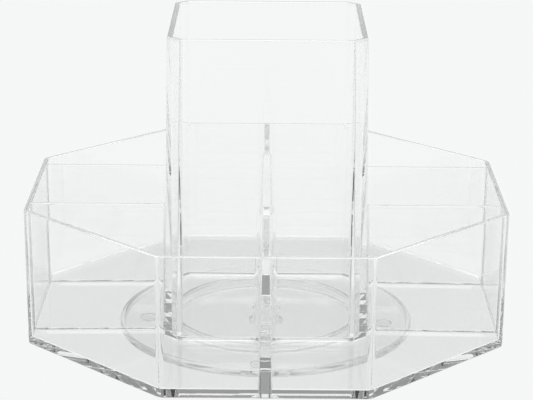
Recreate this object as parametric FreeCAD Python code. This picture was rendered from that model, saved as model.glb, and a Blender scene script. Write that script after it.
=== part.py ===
import FreeCAD, Part
import math, os

V = FreeCAD.Vector
os.makedirs("parts", exist_ok=True)

# Clear rotating organiser: an eight-sided tray with a tall brush column in the middle,
# six dividers, and a round turntable base.
# Millimetres. +Z up, origin at the centre of the face the feet stand on, front is -Y.

# ---- tray ----
TRAY_Z = 10.0          # underside of the tray floor
TRAY_TOP = 77.3        # rim of the tray and of every divider
HALF_X = 115.0         # half width across the side walls, at the rim
HALF_Y = 112.7         # half depth across the front and back walls, at the rim
FRONT_HALF = 48.0      # half length of the front and back walls, before rounding
SIDE_HALF = 45.7       # half length of the side walls, before rounding
DRAFT_OUT = 0.6        # the outside is this much narrower at the bottom, per side
FLOOR = 3.5
WALL_TOP = 2.5
WALL_FOOT = 3.0
CORNER_R = 4.8
BOTTOM_R = 0.6
INNER_CORNER_R = 2.3
INNER_FOOT_R = 1.6
RIM_R = 0.7

# ---- brush column ----
COL_TOP = 160.3
COL_HALF_TOP = 46.85
COL_HALF_FOOT = 48.6
COL_CHAMFER = 6.1      # leg of the corner chamfer
COL_WALL_TOP = 3.0
COL_WALL_FOOT = 5.6
COL_EDGE_R = 1.2
COL_INNER_EDGE_R = 1.0
COL_INNER_FOOT_R = 2.2
COL_OUTER_FOOT_R = 1.2
COL_RIM_R = 0.8

# ---- dividers ----
CROSS_Y = 33.35        # centre line of the four side dividers
MID_T_TOP = 3.0
MID_T_FOOT = 5.4
CROSS_T_TOP = 2.6
CROSS_T_FOOT = 3.6
MID_FLARE = 4.2        # fillet where the middle dividers meet the column
CROSS_FLARE = 3.6
WALL_FLARE = 1.4       # fillet where a divider meets the outer wall
DIV_FOOT_R = 1.0
DIV_TOP_CHAMFER = 0.5
GUSSET_R = 5.5         # blend that rises from a divider's top edge up the column
END_RELIEF = 1.7       # chamfer that clears the tray's inner foot fillet
BITE = 0.2             # fillets end this far inside the face they run onto
FLARE_BITE = 0.4
SINK = 1.2             # length carried into a neighbour before trimming

# ---- turntable base ----
DISC_R = 72.2
DISC_Z0 = 1.6
DISC_Z1 = 4.0
LIP_T = 2.4
LIP_TOP = 6.0
RIB_IN = 44.4
RIB_OUT = 47.0
RIB_TOP = 8.9
GROOVE_IN = 45.05
GROOVE_OUT = 46.35
GROOVE_Z = 8.1
RING_TOP = 9.7
RING_PLAY = 0.03
BOSS_R = 6.5
BOSS_BORE = 4.53
BOSS_Z = 4.4
PIN_R = 4.50
PIN_HOLE = 4.60
PIN_TOP = 9.5
PIN_HEAD_R = 8.0
PIN_HEAD_Z0 = 1.3
PIN_HEAD_Z1 = 2.5
PIN_SEAT_R = 8.6
PIN_SEAT_Z = 2.8
FOOT_R = 4.0
FOOT_RING = 58.6
FOOT_TURN = -3.0       # degrees, how the base is turned under the tray
FOOT_SEAT = 2.3        # top of the shallow seat each foot is stuck into

T8 = math.tan(math.radians(22.5))


def prism(low, high, z0, z1):
    """Solid with flat tapering sides between two outlines that have parallel edges."""
    n = len(low)
    a = [V(p[0], p[1], z0) for p in low]
    b = [V(p[0], p[1], z1) for p in high]
    faces = [Part.Face(Part.makePolygon(a[::-1] + [a[-1]])), Part.Face(Part.makePolygon(b + [b[0]]))]
    for i in range(n):
        j = (i + 1) % n
        faces.append(Part.Face(Part.makePolygon([a[i], a[j], b[j], b[i], a[i]])))
    solid = Part.Solid(Part.Shell(faces))
    if solid.Volume < 0:
        solid.reverse()
    return solid


def uprights(shape, z0, z1):
    """Edges that run all the way from z0 to z1."""
    return [e for e in shape.Edges
            if abs(e.BoundBox.ZMin - z0) < 1e-3 and abs(e.BoundBox.ZMax - z1) < 1e-3]


def rounded_prism(low, high, z0, z1, radius):
    solid = prism(low, high, z0, z1)
    return solid.makeFillet(radius, uprights(solid, z0, z1))


def rounded(points, radius, z):
    """Closed wire through a convex outline with every corner rounded."""
    n = len(points)
    ends = []
    for i in range(n):
        p, a, b = points[i], points[i - 1], points[(i + 1) % n]
        ux, uy = a[0] - p[0], a[1] - p[1]
        vx, vy = b[0] - p[0], b[1] - p[1]
        lu, lv = math.hypot(ux, uy), math.hypot(vx, vy)
        ux, uy, vx, vy = ux / lu, uy / lu, vx / lv, vy / lv
        half = math.acos(max(-1.0, min(1.0, ux * vx + uy * vy))) / 2.0
        t = radius / math.tan(half)
        bx, by = ux + vx, uy + vy
        lb = math.hypot(bx, by)
        c = radius / math.sin(half)
        cx, cy = p[0] + bx / lb * c, p[1] + by / lb * c
        mx, my = cx - bx / lb * radius, cy - by / lb * radius
        ends.append((V(p[0] + ux * t, p[1] + uy * t, z), V(mx, my, z), V(p[0] + vx * t, p[1] + vy * t, z)))
    edges = []
    for i in range(n):
        s, m, e = ends[i]
        edges.append(Part.Arc(s, m, e).toShape())
        edges.append(Part.LineSegment(e, ends[(i + 1) % n][0]).toShape())
    return Part.Wire(edges)


def rounded_loft(low, high, z0, z1, radius):
    return Part.makeLoft([rounded(low, radius, z0), rounded(high, radius, z1)], True, True)


def octagon(inset):
    hx, hy = HALF_X - inset, HALF_Y - inset
    w, a = FRONT_HALF - inset * T8, SIDE_HALF - inset * T8
    return [(w, -hy), (hx, -a), (hx, a), (w, hy), (-w, hy), (-hx, a), (-hx, -a), (-w, -hy)]


def chamfered(half, leg):
    k = half - leg
    return [(k, -half), (half, -k), (half, k), (k, half), (-k, half), (-half, k), (-half, -k), (-k, -half)]


def edges_at(shape, z):
    return [e for e in shape.Edges
            if abs(e.BoundBox.ZMin - z) < 1e-4 and abs(e.BoundBox.ZMax - z) < 1e-4]


def ring(r0, r1, z0, z1):
    tube = Part.makeCylinder(r1, z1 - z0, V(0, 0, z0))
    return tube.cut(Part.makeCylinder(r0, z1 - z0 + 2, V(0, 0, z0 - 1))) if r0 > 0 else tube


def tidy(shape):
    """The largest solid of a result, cleaned of seams."""
    s = max(shape.Solids, key=lambda q: q.Volume)
    return s.removeSplitter()


# ---------------------------------------------------------------- tray shell
FLOOR_TOP = TRAY_Z + FLOOR


def outer_inset(z):
    return DRAFT_OUT * (TRAY_TOP - z) / (TRAY_TOP - TRAY_Z)


def inner_inset(z):
    k = (TRAY_TOP - z) / (TRAY_TOP - FLOOR_TOP)
    return WALL_TOP + k * (WALL_FOOT + DRAFT_OUT - WALL_TOP)


outer = rounded_loft(octagon(outer_inset(TRAY_Z)), octagon(0.0), TRAY_Z, TRAY_TOP, CORNER_R)
outer = outer.makeFillet(BOTTOM_R, edges_at(outer, TRAY_Z))
over = TRAY_TOP + 4.0
void = rounded_loft(octagon(inner_inset(FLOOR_TOP)), octagon(inner_inset(over)), FLOOR_TOP, over, INNER_CORNER_R)
void = void.makeFillet(INNER_FOOT_R, edges_at(void, FLOOR_TOP))
shell = outer.cut(void)
shell = shell.makeFillet(RIM_R, edges_at(shell, TRAY_TOP))
boss = ring(0, BOSS_R, BOSS_Z, TRAY_Z + 0.5)
shell = shell.fuse(boss).cut(Part.makeCylinder(BOSS_BORE, 9.8 - BOSS_Z + 1, V(0, 0, BOSS_Z - 1)))
root = [e for e in edges_at(shell, TRAY_Z) if abs(e.BoundBox.XMax - BOSS_R) < 1e-3]
shell = shell.makeFillet(0.8, root)
shell = tidy(shell)

# ---------------------------------------------------------------- brush column


def col_half(z):
    return COL_HALF_FOOT + (COL_HALF_TOP - COL_HALF_FOOT) * (z - FLOOR_TOP) / (COL_TOP - FLOOR_TOP)


def col_wall(z):
    return COL_WALL_FOOT + (COL_WALL_TOP - COL_WALL_FOOT) * (z - FLOOR_TOP) / (COL_TOP - FLOOR_TOP)


def col_outer(z, less=0.0):
    return chamfered(col_half(z) - less, COL_CHAMFER)


def col_inner(z):
    d = col_wall(z)
    return chamfered(col_half(z) - d, COL_CHAMFER - d * (2 - math.sqrt(2)))


low = FLOOR_TOP - BITE
col_body = rounded_prism(col_outer(low), col_outer(COL_TOP), low, COL_TOP, COL_EDGE_R)
slab = Part.makeBox(130, 130, 3, V(-65, -65, low - 3))
foot = col_body.fuse(slab)
join = [e for e in edges_at(foot, low)
        if max(abs(e.BoundBox.XMin), abs(e.BoundBox.XMax), abs(e.BoundBox.YMin), abs(e.BoundBox.YMax)) < 60]
foot = foot.makeFillet(COL_OUTER_FOOT_R, join)
above = Part.makeBox(140, 140, 200, V(-70, -70, FLOOR_TOP))
col_solid = tidy(foot.common(above))
col_void = rounded_prism(col_inner(low), col_inner(COL_TOP + 4.0), low, COL_TOP + 4.0, COL_INNER_EDGE_R)
col_void = col_void.makeFillet(COL_INNER_FOOT_R, edges_at(col_void, low))
column = col_solid.cut(col_void)
column = column.makeFillet(COL_RIM_R, edges_at(column, COL_TOP))
column = tidy(column)

# ---------------------------------------------------------------- dividers


def slabbed(t_low, t_high, y_in, y_out, z0, z1):
    """A tapering plate along -Y."""
    def box(t):
        h = t / 2.0
        return [(h, -y_in), (-h, -y_in), (-h, -y_out), (h, -y_out)]
    return prism(box(t_low), box(t_high), z0, z1)


def divider(half_wall, t_top, t_foot, flare):
    """A divider along -Y, before it is turned into place and trimmed."""
    z0, z1 = FLOOR_TOP, TRAY_TOP
    core = prism(col_outer(z0, FLARE_BITE), col_outer(z1, FLARE_BITE), z0, z1)
    w0, w1 = half_wall - inner_inset(z0) + BITE, half_wall - inner_inset(z1) + BITE
    wall = prism([(20, -w0), (-20, -w0), (-20, -w0 - 8), (20, -w0 - 8)],
                 [(20, -w1), (-20, -w1), (-20, -w1 - 8), (20, -w1 - 8)], z0, z1)
    plate = slabbed(t_foot, t_top, 30.0, w1 + 2.0, z0, z1)
    body = core.fuse(plate).fuse(wall).removeSplitter()
    ups = uprights(body, z0, z1)
    at_core = [e for e in ups if max(abs(e.BoundBox.XMin), abs(e.BoundBox.XMax)) < t_foot / 2 + 0.1 and e.BoundBox.YMin > -60]
    at_wall = [e for e in ups if max(abs(e.BoundBox.XMin), abs(e.BoundBox.XMax)) < t_foot / 2 + 0.1 and e.BoundBox.YMax < -80]
    if len(at_core) != 2 or len(at_wall) != 2:
        raise RuntimeError("divider corners not found %d %d" % (len(at_core), len(at_wall)))
    body = body.makeFillet(flare, at_core)
    ups = uprights(body, z0, z1)
    at_wall = [e for e in ups if max(abs(e.BoundBox.XMin), abs(e.BoundBox.XMax)) < t_foot / 2 + 0.1 and e.BoundBox.YMax < -80]
    body = body.makeFillet(WALL_FLARE, at_wall)
    # keep the divider alone, with short ends inside its neighbours
    span = Part.makeBox(2 * (t_foot / 2 + flare) + 2, w1 + SINK - (COL_HALF_TOP - SINK), 200,
                        V(-(t_foot / 2 + flare) - 1, -(w1 + SINK), -20))
    body = body.common(span)
    top = [e for e in edges_at(body, z1)
           if e.BoundBox.YMax < -(col_half(z1) - FLARE_BITE) + 0.01 and e.BoundBox.YMin > -w1 - 0.01
           and e.BoundBox.XMax - e.BoundBox.XMin < flare + 0.5 and max(abs(e.BoundBox.XMin), abs(e.BoundBox.XMax)) < t_top / 2 + flare + 0.01]
    top = [e for e in top if e.BoundBox.YMax - e.BoundBox.YMin > 1.0]
    body = body.makeChamfer(DIV_TOP_CHAMFER, top)
    # cove along the foot, on both sides
    h, r, zb = t_foot / 2.0, DIV_FOOT_R, FLOOR_TOP - BITE
    k = 1 - math.sqrt(0.5)
    y0 = -(COL_HALF_FOOT - SINK)
    edges = [Part.LineSegment(V(-h - r, y0, zb), V(h + r, y0, zb)).toShape(),
             Part.Arc(V(h + r, y0, zb), V(h + r * k, y0, zb + r * k), V(h, y0, zb + r)).toShape(),
             Part.LineSegment(V(h, y0, zb + r), V(-h, y0, zb + r)).toShape(),
             Part.Arc(V(-h, y0, zb + r), V(-h - r * k, y0, zb + r * k), V(-h - r, y0, zb)).toShape()]
    cove = Part.Face(Part.Wire(edges)).extrude(V(0, -(w0 + SINK + y0), 0))
    cove = cove.common(Part.makeBox(40, 200, 20, V(-20, -200, FLOOR_TOP)))
    body = body.fuse(cove)
    # concave gusset from the top edge up the column's face
    ht, g = t_top / 2.0, GUSSET_R
    yc = -(col_half(z1 + g) - 0.1)
    ye = yc - g
    arc = Part.Arc(V(-ht, ye, z1), V(-ht, ye + g * math.sin(math.pi / 4), z1 + g * (1 - math.cos(math.pi / 4))),
                   V(-ht, yc, z1 + g)).toShape()
    line = [Part.LineSegment(V(-ht, yc, z1 + g), V(-ht, yc + SINK, z1 + g)).toShape(),
            Part.LineSegment(V(-ht, yc + SINK, z1 + g), V(-ht, yc + SINK, z1 - 2.0)).toShape(),
            Part.LineSegment(V(-ht, yc + SINK, z1 - 2.0), V(-ht, ye, z1 - 2.0)).toShape(),
            Part.LineSegment(V(-ht, ye, z1 - 2.0), V(-ht, ye, z1)).toShape()]
    gusset = Part.Face(Part.Wire([arc] + line)).extrude(V(t_top, 0, 0))
    return body.fuse(gusset)


def place(shape, turn, dx=0.0, dy=0.0):
    s = shape.copy()
    s.rotate(V(0, 0, 0), V(0, 0, 1), turn)
    s.translate(V(dx, dy, 0))
    return s


mid = divider(HALF_Y, MID_T_TOP, MID_T_FOOT, MID_FLARE)
cross = divider(HALF_X, CROSS_T_TOP, CROSS_T_FOOT, CROSS_FLARE)
raw = {
    "front_divider": place(mid, 0),
    "back_divider": place(mid, 180),
    "left_front_divider": place(cross, -90, 0, -CROSS_Y),
    "left_back_divider": place(cross, -90, 0, CROSS_Y),
    "right_front_divider": place(cross, 90, 0, -CROSS_Y),
    "right_back_divider": place(cross, 90, 0, CROSS_Y),
}
bay = rounded_loft(octagon(inner_inset(FLOOR_TOP)), octagon(inner_inset(over)), FLOOR_TOP, over, INNER_CORNER_R)
relief = rounded_loft(octagon(inner_inset(FLOOR_TOP) + END_RELIEF), octagon(inner_inset(FLOOR_TOP)), FLOOR_TOP,
                      FLOOR_TOP + END_RELIEF, 1.5)
low_band = Part.makeBox(300, 300, END_RELIEF, V(-150, -150, FLOOR_TOP))
dividers = {n: tidy(s.common(bay).cut(low_band.cut(relief)).cut(col_solid)) for n, s in raw.items()}

# ---------------------------------------------------------------- turntable base
disc = ring(PIN_HOLE, DISC_R, DISC_Z0, DISC_Z1)
disc = disc.fuse(ring(DISC_R - LIP_T, DISC_R, DISC_Z0, LIP_TOP))
disc = disc.fuse(ring(RIB_IN, RIB_OUT, DISC_Z0, RIB_TOP))
disc = disc.removeSplitter()


def circle_edges(shape, radius, z):
    return [e for e in edges_at(shape, z)
            if abs(e.BoundBox.XMax - radius) < 1e-3 and abs(e.BoundBox.XMin + radius) < 1e-3]


disc = disc.makeFillet(1.0, circle_edges(disc, DISC_R, DISC_Z0))
disc = disc.makeFillet(0.8, circle_edges(disc, DISC_R, LIP_TOP) + circle_edges(disc, DISC_R - LIP_T, LIP_TOP))
disc = disc.makeFillet(0.9, circle_edges(disc, DISC_R - LIP_T, DISC_Z1)
                       + circle_edges(disc, RIB_IN, DISC_Z1) + circle_edges(disc, RIB_OUT, DISC_Z1))
disc = disc.cut(ring(GROOVE_IN, GROOVE_OUT, GROOVE_Z, RIB_TOP + 1))
disc = disc.cut(Part.makeCylinder(PIN_SEAT_R, PIN_SEAT_Z, V(0, 0, 0)))
foot_at = []
for i in range(4):
    a = math.radians(FOOT_TURN + 90 * i)
    foot_at.append((FOOT_RING * math.cos(a), FOOT_RING * math.sin(a)))
for x, y in foot_at:
    disc = disc.cut(Part.makeCylinder(FOOT_R + 0.15, FOOT_SEAT - 1.0, V(x, y, 1.0)))
disc = tidy(disc)

slide = ring(GROOVE_IN + RING_PLAY, GROOVE_OUT - RING_PLAY, GROOVE_Z, RING_TOP)
slide = slide.makeFillet(0.35, circle_edges(slide, GROOVE_OUT - RING_PLAY, RING_TOP)
                         + circle_edges(slide, GROOVE_IN + RING_PLAY, RING_TOP))
slide = tidy(slide)

pin = ring(0, PIN_HEAD_R, PIN_HEAD_Z0, PIN_HEAD_Z1).fuse(ring(0, PIN_R, PIN_HEAD_Z0, PIN_TOP)).removeSplitter()
pin = pin.makeFillet(0.5, circle_edges(pin, PIN_HEAD_R, PIN_HEAD_Z0))
pin = pin.makeChamfer(0.6, circle_edges(pin, PIN_R, PIN_TOP))
pin = tidy(pin)


def make_foot(x, y):
    f = Part.makeCylinder(FOOT_R, FOOT_SEAT, V(x, y, 0))
    low_edges = edges_at(f, 0.0)
    return tidy(f.makeFillet(1.0, low_edges))


feet = {n: make_foot(x, y) for n, (x, y) in
        zip(("foot_right", "foot_back", "foot_left", "foot_front"), foot_at)}

nodes = {"tray_shell": shell, "brush_column": column, "base_disc": disc,
         "glide_ring": slide, "pivot_pin": pin}
nodes.update(dividers)
nodes.update(feet)
for name, shape in nodes.items():
    if not shape.isValid() or len(shape.Solids) != 1:
        raise RuntimeError("node " + name + " is not one valid solid")
    shape.exportStep("parts/" + name + ".step")
    b = shape.optimalBoundingBox(False)
    print("%-22s %9.1f mm3  x %7.2f %7.2f  y %7.2f %7.2f  z %6.2f %6.2f" %
          (name, shape.Volume, b.XMin, b.XMax, b.YMin, b.YMax, b.ZMin, b.ZMax))
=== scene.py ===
import math

import bmesh
import bpy
from mathutils import Matrix, Vector


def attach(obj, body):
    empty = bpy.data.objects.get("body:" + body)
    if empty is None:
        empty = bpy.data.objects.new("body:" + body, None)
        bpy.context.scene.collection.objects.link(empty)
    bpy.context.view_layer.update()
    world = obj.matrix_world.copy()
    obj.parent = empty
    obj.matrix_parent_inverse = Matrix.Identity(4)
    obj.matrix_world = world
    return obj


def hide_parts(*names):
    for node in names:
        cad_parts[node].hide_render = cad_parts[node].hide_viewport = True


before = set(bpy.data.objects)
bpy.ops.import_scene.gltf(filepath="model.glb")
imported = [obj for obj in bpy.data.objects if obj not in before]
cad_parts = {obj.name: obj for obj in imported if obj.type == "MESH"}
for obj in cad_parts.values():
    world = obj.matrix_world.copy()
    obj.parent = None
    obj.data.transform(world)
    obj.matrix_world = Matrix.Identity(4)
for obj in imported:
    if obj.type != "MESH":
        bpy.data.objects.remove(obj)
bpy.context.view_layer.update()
scene = bpy.context.scene
MM = 0.001

# ------------------------------------------------------------------ camera
TARGET = Vector((0.0, 0.0, 69.24)) * MM
DIST = 964.9 * MM
PITCH = 0.2976
ROLL = 0.0075

back = Vector((0.0, -math.cos(PITCH), math.sin(PITCH)))
right = Vector((1.0, 0.0, 0.0))
up = back.cross(right)
r2 = right * math.cos(ROLL) + up * math.sin(ROLL)
u2 = -right * math.sin(ROLL) + up * math.cos(ROLL)
cam_data = bpy.data.cameras.new("view")
cam_data.sensor_width = 36.0
cam_data.lens = 1945.33 * 36.0 / 533.0
cam_data.clip_end = 50.0
cam = bpy.data.objects.new("view", cam_data)
m = Matrix((r2, u2, back)).transposed().to_4x4()
m.translation = TARGET + back * DIST
cam.matrix_world = m
scene.collection.objects.link(cam)
scene.camera = cam

# ------------------------------------------------------------------ sizes, millimetres, as in the CAD
TRAY_Z, TRAY_TOP, FLOOR = 10.0, 77.3, 3.5
FLOOR_TOP = TRAY_Z + FLOOR
HALF_X, HALF_Y, FRONT_HALF, SIDE_HALF = 115.0, 112.7, 48.0, 45.7
DRAFT_OUT, WALL_TOP, WALL_FOOT = 0.6, 2.5, 3.0
CORNER_R, BOTTOM_R, INNER_CORNER_R, INNER_FOOT_R, RIM_R = 4.8, 0.6, 2.3, 1.0, 0.7
COL_TOP, COL_HALF_TOP, COL_HALF_FOOT, COL_CHAMFER = 160.3, 46.85, 48.6, 6.1
COL_WALL_TOP, COL_WALL_FOOT = 3.0, 5.6
COL_EDGE_R, COL_INNER_EDGE_R, COL_INNER_FOOT_R, COL_OUTER_FOOT_R, COL_RIM_R = 1.2, 1.0, 0.6, 0.7, 1.2
CROSS_Y = 33.35
MID_T_TOP, MID_T_FOOT, CROSS_T_TOP, CROSS_T_FOOT = 3.0, 5.4, 2.6, 3.6
MID_FLARE, CROSS_FLARE, WALL_FLARE, DIV_FOOT_R = 3.9, 1.6, 0.8, 0.5
MID_RISE, CROSS_RISE = 5.5, 1.6
BACK_FLARE, BACK_RISE = 1.6, 5.0
BITE, FLARE_BITE = 0.06, 0.08
T8 = math.tan(math.radians(22.5))


# ------------------------------------------------------------------ mesh helpers
def rounded(points, radius, n):
    """Plan points round a convex outline whose corners have this radius."""
    out = []
    count = len(points)
    for i in range(count):
        p, a, b = (Vector(points[i]), Vector(points[i - 1]), Vector(points[(i + 1) % count]))
        u, v = (a - p).normalized(), (b - p).normalized()
        half = math.acos(max(-1.0, min(1.0, u.dot(v)))) / 2.0
        t = radius / math.tan(half)
        c = p + (u + v).normalized() * (radius / math.sin(half))
        s, e = p + u * t - c, p + v * t - c
        a0 = math.atan2(s.y, s.x)
        turn = (math.atan2(e.y, e.x) - a0 + math.pi) % (2 * math.pi) - math.pi
        for k in range(n + 1):
            q = a0 + turn * k / n
            out.append((c.x + radius * math.cos(q), c.y + radius * math.sin(q)))
    return out


def octagon(inset):
    hx, hy = HALF_X - inset, HALF_Y - inset
    w, a = FRONT_HALF - inset * T8, SIDE_HALF - inset * T8
    return [(w, -hy), (hx, -a), (hx, a), (w, hy), (-w, hy), (-hx, a), (-hx, -a), (-w, -hy)]


def chamfered(half, leg):
    k = half - leg
    return [(k, -half), (half, -k), (half, k), (k, half), (-k, half), (-half, k), (-half, -k), (-k, -half)]


def mesh_object(name, bm):
    bmesh.ops.remove_doubles(bm, verts=bm.verts, dist=1e-7)
    bmesh.ops.recalc_face_normals(bm, faces=bm.faces)
    me = bpy.data.meshes.new(name)
    bm.to_mesh(me)
    bm.free()
    ob = bpy.data.objects.new(name, me)
    scene.collection.objects.link(ob)
    return ob


def stack(name, rings, loop=False):
    """Closed mesh through rings of equal count: capped at both ends, or joined last to first."""
    bm = bmesh.new()
    rows = [[bm.verts.new((x * MM, y * MM, z * MM)) for x, y, z in ring] for ring in rings]
    pairs = list(zip(rows[:-1], rows[1:]))
    if loop:
        pairs.append((rows[-1], rows[0]))
    for lo, hi in pairs:
        k = len(lo)
        for i in range(k):
            j = (i + 1) % k
            bm.faces.new((lo[i], lo[j], hi[j], hi[i]))
    if not loop:
        bm.faces.new(rows[0][::-1])
        bm.faces.new(rows[-1])
    return mesh_object(name, bm)


def lathe(name, profile, steps=96):
    """Closed solid of revolution from (radius, z) points, the first and last on the axis."""
    bm = bmesh.new()
    rows = []
    for r, z in profile:
        if r < 1e-6:
            rows.append([bm.verts.new((0, 0, z * MM))])
        else:
            rows.append([bm.verts.new((r * MM * math.cos(2 * math.pi * i / steps),
                                       r * MM * math.sin(2 * math.pi * i / steps), z * MM)) for i in range(steps)])
    for lo, hi in zip(rows[:-1], rows[1:]):
        for i in range(steps):
            j = (i + 1) % steps
            if len(lo) == 1:
                bm.faces.new((lo[0], hi[j], hi[i]))
            elif len(hi) == 1:
                bm.faces.new((lo[i], lo[j], hi[0]))
            else:
                bm.faces.new((lo[i], lo[j], hi[j], hi[i]))
    return mesh_object(name, bm)


def lerp(a, b, t):
    return a + (b - a) * t


# ------------------------------------------------------------------ clear body
def inner_inset(z):
    return lerp(WALL_TOP, WALL_FOOT + DRAFT_OUT, (TRAY_TOP - z) / (TRAY_TOP - FLOOR_TOP))


def outer_inset(z):
    return DRAFT_OUT * (TRAY_TOP - z) / (TRAY_TOP - TRAY_Z)


def tray_mesh():
    rings = []
    n = 6

    def ring(inset, radius, z):
        rings.append([(x, y, z) for x, y in rounded(octagon(inset), radius, n)])

    for i in range(9):
        q = math.radians(90.0 * i / 8)
        z = TRAY_Z + BOTTOM_R * (1 - math.cos(q))
        d = BOTTOM_R * (1 - math.sin(q))
        ring(outer_inset(z) + d, CORNER_R - d, z)
    for i in range(5):
        q = math.radians(90.0 * i / 4)
        z = TRAY_TOP - RIM_R + RIM_R * math.sin(q)
        d = RIM_R * (1 - math.cos(q))
        ring(outer_inset(z) + d, CORNER_R - d, z)
    for i in range(5):
        q = math.radians(90.0 * i / 4)
        z = TRAY_TOP - RIM_R + RIM_R * math.cos(q)
        d = RIM_R * (1 - math.sin(q))
        ring(inner_inset(z) - d, INNER_CORNER_R + d, z)
    for i in range(7):
        q = math.radians(90.0 * i / 6)
        z = FLOOR_TOP + INNER_FOOT_R * (1 - math.sin(q))
        d = INNER_FOOT_R * (1 - math.cos(q))
        ring(inner_inset(z) + d, INNER_CORNER_R - d, z)
    return stack("tray", rings)


def col_half(z):
    return lerp(COL_HALF_FOOT, COL_HALF_TOP, (z - FLOOR_TOP) / (COL_TOP - FLOOR_TOP))


def col_wall(z):
    return lerp(COL_WALL_FOOT, COL_WALL_TOP, (z - FLOOR_TOP) / (COL_TOP - FLOOR_TOP))


def column_mesh():
    rings = []
    n = 5
    z0 = FLOOR_TOP - BITE

    def outer(z, d):
        rings.append([(x, y, z) for x, y in rounded(chamfered(col_half(z) + d, COL_CHAMFER + d * 0.586), COL_EDGE_R + d, n)])

    def inner(z, d):
        w = col_wall(z) + d
        rings.append([(x, y, z) for x, y in rounded(chamfered(col_half(z) - w, COL_CHAMFER - w * 0.586), max(COL_INNER_EDGE_R - d * 0.3, 0.3), n)])

    r = COL_OUTER_FOOT_R
    q0 = math.acos(1 - BITE / r)
    outer(FLOOR_TOP - 0.7, r * (1 - math.sin(q0)))
    for i in range(6):
        q = lerp(q0, math.pi / 2, i / 5)
        outer(z0 + r * (1 - math.cos(q)), r * (1 - math.sin(q)))
    for i in range(5):
        q = math.radians(90.0 * i / 4)
        outer(COL_TOP - COL_RIM_R * (1 - math.sin(q)), -COL_RIM_R * (1 - math.cos(q)))
    for i in range(5):
        q = math.radians(90.0 * i / 4)
        inner(COL_TOP - COL_RIM_R * (1 - math.cos(q)), -COL_RIM_R * (1 - math.sin(q)))
    r = COL_INNER_FOOT_R
    q0 = math.acos(1 - BITE / r)
    for i in range(8):
        q = lerp(math.pi / 2, q0, i / 7)
        inner(z0 + r * (1 - math.cos(q)), r * (1 - math.sin(q)))
    inner(FLOOR_TOP - 0.7, r * (1 - math.sin(q0)))
    return stack("column", rings, loop=True)


def divider_mesh(name, half_wall, t_top, t_foot, flare, rise, turn, dy):
    """A tapering plate with a cove along the foot, a blend onto the column that runs round its top, and a small blend onto the wall."""
    top = TRAY_TOP - 0.02
    rot = Matrix.Rotation(math.radians(turn), 2)
    rings = []

    def half(z):
        return lerp(t_foot, t_top, (max(z, FLOOR_TOP) - FLOOR_TOP) / (TRAY_TOP - FLOOR_TOP)) / 2.0

    r, z0 = DIV_FOOT_R, FLOOR_TOP - BITE
    q0 = math.acos(1 - BITE / r)
    cove = [(r * (1 - math.sin(q0)), FLOOR_TOP - 0.6)]
    for i in range(5):
        q = lerp(q0, math.pi / 2, i / 4)
        cove.append((r * (1 - math.sin(q)), z0 + r * (1 - math.cos(q))))

    def section(wide, high, place):
        side = [(half(z) + wide + d, z) for d, z in cove]
        cx, cz = RIM_R + wide, RIM_R + high
        zt = top + high
        xc = half(min(zt - cz, TRAY_TOP)) + wide - cx
        for i in range(9):
            t = math.radians(90.0 * i / 8)
            side.append((xc + cx * math.cos(t), zt - cz + cz * math.sin(t)))
        out = []
        for x, z in side + [(-x, z) for x, z in side[::-1]]:
            v = rot @ Vector((x, place(z)))
            out.append((v.x, v.y + dy, z))
        rings.append(out)

    def at_column(d):
        return lambda z: -(col_half(max(z, FLOOR_TOP)) - FLARE_BITE + d)

    def at_wall(d):
        return lambda z: -(half_wall - inner_inset(min(max(z, FLOOR_TOP), TRAY_TOP)) + BITE - d)

    section(flare, rise, at_column(-1.9))
    for i in range(11):
        q = math.radians(90.0 * i / 10)
        section(flare * (1 - math.sin(q)), rise * (1 - math.sin(q)), at_column(flare * (1 - math.cos(q))))
    for i in range(6):
        q = math.radians(90.0 * (5 - i) / 5)
        section(WALL_FLARE * (1 - math.sin(q)), 0.0, at_wall(WALL_FLARE * (1 - math.cos(q))))
    section(WALL_FLARE, 0.0, at_wall(-0.9))
    return stack(name, rings)


def boss_mesh():
    prof = [(0, 11.2), (7.3, 11.2), (7.3, 10.0)]
    for i in range(1, 6):
        q = math.radians(90.0 * i / 5)
        prof.append((7.3 - 0.8 * math.sin(q), 10.0 - 0.8 * (1 - math.cos(q))))
    prof += [(6.5, 4.7), (6.41, 4.49), (6.2, 4.4), (4.83, 4.4), (4.62, 4.49), (4.53, 4.7), (4.53, 9.8), (0, 9.8)]
    return lathe("boss", prof)


def union(base, others):
    for o in others:
        mod = base.modifiers.new("join", "BOOLEAN")
        mod.operation = "UNION"
        mod.solver = "EXACT"
        mod.object = o
        bpy.context.view_layer.update()
        dg = bpy.context.evaluated_depsgraph_get()
        me = bpy.data.meshes.new_from_object(base.evaluated_get(dg))
        base.modifiers.clear()
        old = base.data
        base.data = me
        bpy.data.meshes.remove(old)
        bpy.data.objects.remove(o, do_unlink=True)
    return base


body = tray_mesh()
parts = [column_mesh(), boss_mesh(),
         divider_mesh("d1", HALF_Y, MID_T_TOP, MID_T_FOOT, MID_FLARE, MID_RISE, 0, 0),
         divider_mesh("d2", HALF_Y, MID_T_TOP, MID_T_FOOT, BACK_FLARE, BACK_RISE, 180, 0)]
for turn in (-90, 90):
    for dy in (-CROSS_Y, CROSS_Y):
        parts.append(divider_mesh("d3", HALF_X, CROSS_T_TOP, CROSS_T_FOOT, CROSS_FLARE, CROSS_RISE, turn, dy))
union(body, parts)
body.name = body.data.name = "organiser_clear"
bm = bmesh.new()
bm.from_mesh(body.data)
bmesh.ops.remove_doubles(bm, verts=bm.verts, dist=2e-6)
bmesh.ops.dissolve_degenerate(bm, dist=1e-6, edges=bm.edges)
open_edges = sum(1 for e in bm.edges if not e.is_manifold)
bm.to_mesh(body.data)
bm.free()
print("organiser_clear faces", len(body.data.polygons), "open edges", open_edges)


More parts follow.
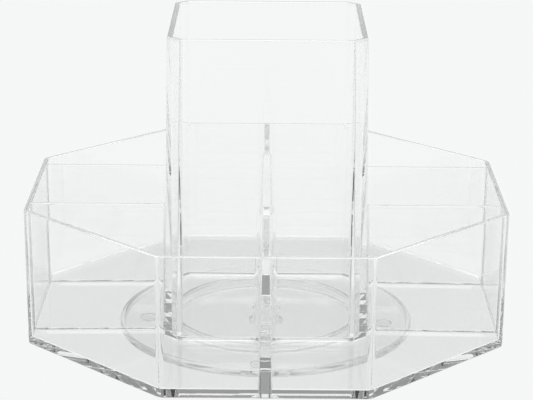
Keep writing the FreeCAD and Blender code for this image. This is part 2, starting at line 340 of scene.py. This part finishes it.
def finish_shading(ob, angle=50.0):
    me = ob.data
    for p in me.polygons:
        p.use_smooth = True
    me.set_sharp_from_angle(angle=math.radians(angle))
    w = ob.modifiers.new("normals", "WEIGHTED_NORMAL")
    w.mode = "FACE_AREA"
    w.weight = 100
    w.keep_sharp = True


finish_shading(body)
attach(body, "organiser")
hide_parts("tray_shell", "brush_column", "front_divider", "back_divider",
            "left_front_divider", "left_back_divider", "right_front_divider", "right_back_divider")


# ------------------------------------------------------------------ materials
def clear_plastic(name, ior, rough_lo, rough_hi, bump, soak=None, tint=(1, 1, 1)):
    """Clear moulded plastic: slight flow waviness, fine wear in the gloss, and a tint that deepens along the edges."""
    mat = bpy.data.materials.new(name)
    mat.use_nodes = True
    nt = mat.node_tree
    nt.nodes.clear()
    out = nt.nodes.new("ShaderNodeOutputMaterial")
    bsdf = nt.nodes.new("ShaderNodeBsdfPrincipled")
    bsdf.inputs["Transmission Weight"].default_value = 1.0
    bsdf.inputs["IOR"].default_value = ior
    nt.links.new(bsdf.outputs["BSDF"], out.inputs["Surface"])
    co = nt.nodes.new("ShaderNodeTexCoord")
    flow = nt.nodes.new("ShaderNodeTexNoise")
    flow.inputs["Scale"].default_value = 14.0
    flow.inputs["Detail"].default_value = 2.0
    nt.links.new(co.outputs["Object"], flow.inputs["Vector"])
    ramp = nt.nodes.new("ShaderNodeValToRGB")
    ramp.color_ramp.elements[0].position = 0.3
    ramp.color_ramp.elements[0].color = (*[c * 0.994 for c in tint], 1)
    ramp.color_ramp.elements[1].position = 0.7
    ramp.color_ramp.elements[1].color = (*tint, 1)
    nt.links.new(flow.outputs["Fac"], ramp.inputs["Fac"])
    nt.links.new(ramp.outputs["Color"], bsdf.inputs["Base Color"])
    fine = nt.nodes.new("ShaderNodeTexNoise")
    fine.inputs["Scale"].default_value = 160.0
    fine.inputs["Detail"].default_value = 6.0
    nt.links.new(co.outputs["Object"], fine.inputs["Vector"])
    wear = nt.nodes.new("ShaderNodeMapRange")
    wear.inputs["From Min"].default_value = 0.35
    wear.inputs["From Max"].default_value = 0.75
    wear.inputs["To Min"].default_value = rough_lo
    wear.inputs["To Max"].default_value = rough_hi
    nt.links.new(fine.outputs["Fac"], wear.inputs["Value"])
    nt.links.new(wear.outputs["Result"], bsdf.inputs["Roughness"])
    bn = nt.nodes.new("ShaderNodeBump")
    bn.inputs["Strength"].default_value = bump
    bn.inputs["Distance"].default_value = 0.0002
    nt.links.new(flow.outputs["Fac"], bn.inputs["Height"])
    nt.links.new(bn.outputs["Normal"], bsdf.inputs["Normal"])
    if soak:
        vol = nt.nodes.new("ShaderNodeVolumeAbsorption")
        vol.inputs["Color"].default_value = (*soak[:3], 1)
        vol.inputs["Density"].default_value = soak[3]
        nt.links.new(vol.outputs["Volume"], out.inputs["Volume"])
    return mat


SOAK = (0.50, 0.52, 0.53, 0.9)
body_mat = clear_plastic("clear_body", 1.57, 0.0, 0.012, 0.05, SOAK)
base_mat = clear_plastic("clear_base", 1.38, 0.0, 0.03, 0.08, SOAK)
pin_mat = clear_plastic("pin_plastic", 1.5, 0.05, 0.15, 0.1, None, (0.97, 0.98, 0.98))
foot_mat = clear_plastic("foot_rubber", 1.42, 0.05, 0.2, 0.1, None, (0.97, 0.98, 0.98))
glide_mat = clear_plastic("glide_plastic", 1.48, 0.15, 0.3, 0.1, None, (0.97, 0.98, 0.97))


def give(ob, mat):
    me = ob.data
    me.materials.clear()
    me.materials.append(mat)


give(body, body_mat)
for node, mat in (("base_disc", base_mat), ("pivot_pin", pin_mat), ("glide_ring", glide_mat),
                  ("foot_left", foot_mat), ("foot_right", foot_mat), ("foot_front", foot_mat), ("foot_back", foot_mat)):
    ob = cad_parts[node]
    for s in ob.material_slots:
        s.material = mat
    if node != "base_disc":
        weld = ob.modifiers.new("weld", "WELD")
        weld.merge_threshold = 0.000005
        gap = ob.modifiers.new("gap", "DISPLACE")
        gap.strength = -0.00004
        gap.mid_level = 0.0


# ------------------------------------------------------------------ floor, backdrop and light
class Graph:
    """Short hand for arithmetic between shader sockets."""

    def __init__(self, tree):
        self.t = tree

    def put(self, socket, value):
        if isinstance(value, (int, float)):
            socket.default_value = value
        else:
            self.t.links.new(value, socket)

    def op(self, kind, a, b=None):
        n = self.t.nodes.new("ShaderNodeMath")
        n.operation = kind
        self.put(n.inputs[0], a)
        if b is not None:
            self.put(n.inputs[1], b)
        return n.outputs[0]

    def ramp(self, v, a, b, lo, hi):
        n = self.t.nodes.new("ShaderNodeMapRange")
        n.interpolation_type = "SMOOTHSTEP"
        self.put(n.inputs["Value"], v)
        n.inputs["From Min"].default_value = a
        n.inputs["From Max"].default_value = b
        self.put(n.inputs["To Min"], lo)
        self.put(n.inputs["To Max"], hi)
        return n.outputs["Result"]


COOL = (0.985, 1.0, 0.998)


FLOOR_TONE = 0.93
FRONT_LEVEL, SIDE_LEVEL, BACK_LEVEL, TOP_LEVEL = 0.55, 0.02, 0.30, 1.5


# a plain pale floor, one tone all over and the same for every ray
floor_me = bpy.data.meshes.new("floor")
F = 3.0
floor_me.from_pydata([(-F, -F, -0.0003), (F, -F, -0.0003), (F, F, -0.0003), (-F, F, -0.0003)], [], [(0, 1, 2, 3)])
floor = bpy.data.objects.new("floor", floor_me)
scene.collection.objects.link(floor)
fm = bpy.data.materials.new("floor_white")
fm.use_nodes = True
ft = fm.node_tree
ft.nodes.clear()
f_out = ft.nodes.new("ShaderNodeOutputMaterial")
glow = ft.nodes.new("ShaderNodeEmission")
glow.inputs["Color"].default_value = (*COOL, 1)
glow.inputs["Strength"].default_value = FLOOR_TONE
ft.links.new(glow.outputs[0], f_out.inputs["Surface"])
floor_me.materials.append(fm)

# plain soft studio light: one wide soft box overhead in a dim room, a little lighter behind and in front
world = bpy.data.worlds.new("studio")
scene.world = world
world.use_nodes = True
wt = world.node_tree
wt.nodes.clear()
g = Graph(wt)
w_out = wt.nodes.new("ShaderNodeOutputWorld")
wc = wt.nodes.new("ShaderNodeTexCoord")
ws = wt.nodes.new("ShaderNodeSeparateXYZ")
wt.links.new(wc.outputs["Generated"], ws.inputs[0])
wx, wy, wz = ws.outputs["X"], ws.outputs["Y"], ws.outputs["Z"]
level_len = g.op("MAXIMUM", g.op("SQRT", g.op("ADD", g.op("MULTIPLY", wx, wx), g.op("MULTIPLY", wy, wy))), 0.001)
facing = g.op("DIVIDE", wy, level_len)
ring = g.ramp(facing, 0.3, 1.0, g.ramp(facing, -1.0, -0.5, FRONT_LEVEL, SIDE_LEVEL), BACK_LEVEL)
level = g.ramp(wz, 0.35, 0.95, ring, TOP_LEVEL)
bg = wt.nodes.new("ShaderNodeBackground")
bg.inputs["Color"].default_value = (*COOL, 1)
wt.links.new(level, bg.inputs["Strength"])
wt.links.new(bg.outputs["Background"], w_out.inputs["Surface"])

scene.view_settings.view_transform = "Standard"
scene.view_settings.look = "None"
scene.cycles.max_bounces = 256
scene.cycles.transmission_bounces = 256
scene.cycles.glossy_bounces = 256
scene.cycles.transparent_max_bounces = 16
scene.cycles.use_denoising = True
